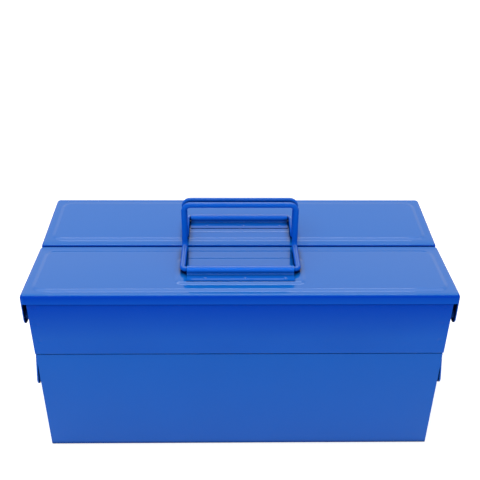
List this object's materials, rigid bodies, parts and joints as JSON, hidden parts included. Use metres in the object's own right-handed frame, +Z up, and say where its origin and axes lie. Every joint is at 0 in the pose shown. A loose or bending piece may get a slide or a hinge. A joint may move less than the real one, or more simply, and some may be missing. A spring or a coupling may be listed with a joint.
{
  "type": "cantilever tool box",
  "caption": "Blue sheet-metal cantilever tool box: a lower box, swing-out trays on flat arms, hinged split lids and fold-down wire carrying handles.",
  "frame": {"origin": "middle of the underside of the lower box, on the surface that it stands on", "axes": "+Z up, +X along the length, front tray towards -Y, rear tray towards +Y; closed with the handles up"},
  "size_m": [0.4438, 0.1984, 0.2658],
  "materials": {
    "sheet_enamel": "gloss royal-blue enamel on folded sheet steel",
    "arm_enamel": "gloss royal-blue enamel on flat steel strip",
    "fastener_enamel": "rivets painted over with the same blue enamel",
    "wire_enamel": "gloss royal-blue enamel on steel wire"
  },
  "bodies": {
    "lower_box": {"lower_box_wrapper": "sheet_enamel", "lower_box_left_end": "sheet_enamel", "lower_box_right_end": "sheet_enamel", "front_arm_foot_rivets": "fastener_enamel", "front_arm_foot_spacers": "fastener_enamel", "rear_arm_foot_rivets": "fastener_enamel", "rear_arm_foot_spacers": "fastener_enamel"},
    "front_outer_arms": {"front_outer_arm_left": "arm_enamel", "front_outer_arm_right": "arm_enamel"},
    "front_inner_arms": {"front_inner_arm_left": "arm_enamel", "front_inner_arm_right": "arm_enamel"},
    "front_tray": {"front_tray_trough": "sheet_enamel", "front_tray_left_end": "sheet_enamel", "front_tray_right_end": "sheet_enamel", "front_arm_top_rivets": "fastener_enamel", "front_arm_top_washers": "fastener_enamel", "front_lid_pivot_rivets": "fastener_enamel", "front_lid_pivot_spacers": "fastener_enamel"},
    "front_lid": {"front_lid_panel": "sheet_enamel", "front_handle_clip": "sheet_enamel"},
    "front_handle": {"front_handle_wire": "wire_enamel"},
    "rear_outer_arms": {"rear_outer_arm_left": "arm_enamel", "rear_outer_arm_right": "arm_enamel"},
    "rear_inner_arms": {"rear_inner_arm_left": "arm_enamel", "rear_inner_arm_right": "arm_enamel"},
    "rear_tray": {"rear_tray_trough": "sheet_enamel", "rear_tray_left_end": "sheet_enamel", "rear_tray_right_end": "sheet_enamel", "rear_arm_top_rivets": "fastener_enamel", "rear_arm_top_washers": "fastener_enamel", "rear_lid_pivot_rivets": "fastener_enamel", "rear_lid_pivot_spacers": "fastener_enamel"},
    "rear_lid": {"rear_lid_panel": "sheet_enamel", "rear_handle_clip": "sheet_enamel"},
    "rear_handle": {"rear_handle_wire": "wire_enamel"}
  },
  "joints": [
    {"name": "front_tray_swing", "type": "hinge", "parent": "lower_box", "child": "front_outer_arms", "pos_m": [0, -0.0816, 0.0905], "axis": [1, 0, 0], "range_deg": [0, 40.7]},
    {"name": "front_inner_arm_swing", "type": "hinge", "parent": "lower_box", "child": "front_inner_arms", "pos_m": [0, -0.0446, 0.0905], "axis": [1, 0, 0], "range_deg": [0, 40.7]},
    {"name": "front_tray_level", "type": "hinge", "parent": "front_outer_arms", "child": "front_tray", "pos_m": [0, -0.0476, 0.182], "axis": [1, 0, 0], "range_deg": [-40.7, 0]},
    {"name": "front_lid_hinge", "type": "hinge", "parent": "front_tray", "child": "front_lid", "pos_m": [0, -0.088, 0.182], "axis": [1, 0, 0], "range_deg": [0, 114]},
    {"name": "front_handle_hinge", "type": "hinge", "parent": "front_lid", "child": "front_handle", "pos_m": [0, -0.0584, 0.21634], "axis": [1, 0, 0], "range_deg": [0, 135]},
    {"name": "rear_tray_swing", "type": "hinge", "parent": "lower_box", "child": "rear_outer_arms", "pos_m": [0, 0.0816, 0.0905], "axis": [-1, 0, 0], "range_deg": [0, 40.7]},
    {"name": "rear_inner_arm_swing", "type": "hinge", "parent": "lower_box", "child": "rear_inner_arms", "pos_m": [0, 0.0446, 0.0905], "axis": [-1, 0, 0], "range_deg": [0, 40.7]},
    {"name": "rear_tray_level", "type": "hinge", "parent": "rear_outer_arms", "child": "rear_tray", "pos_m": [0, 0.0476, 0.182], "axis": [-1, 0, 0], "range_deg": [-40.7, 0]},
    {"name": "rear_lid_hinge", "type": "hinge", "parent": "rear_tray", "child": "rear_lid", "pos_m": [0, 0.088, 0.182], "axis": [-1, 0, 0], "range_deg": [0, 114]},
    {"name": "rear_handle_hinge", "type": "hinge", "parent": "rear_lid", "child": "rear_handle", "pos_m": [0, 0.0479, 0.21588], "axis": [-1, 0, 0], "range_deg": [0, 135]}
  ],
  "couplings": [
    {"joint": "front_inner_arm_swing", "follows": "front_tray_swing", "ratio": 1},
    {"joint": "front_tray_level", "follows": "front_tray_swing", "ratio": -1},
    {"joint": "rear_inner_arm_swing", "follows": "rear_tray_swing", "ratio": 1},
    {"joint": "rear_tray_level", "follows": "rear_tray_swing", "ratio": -1}
  ]
}
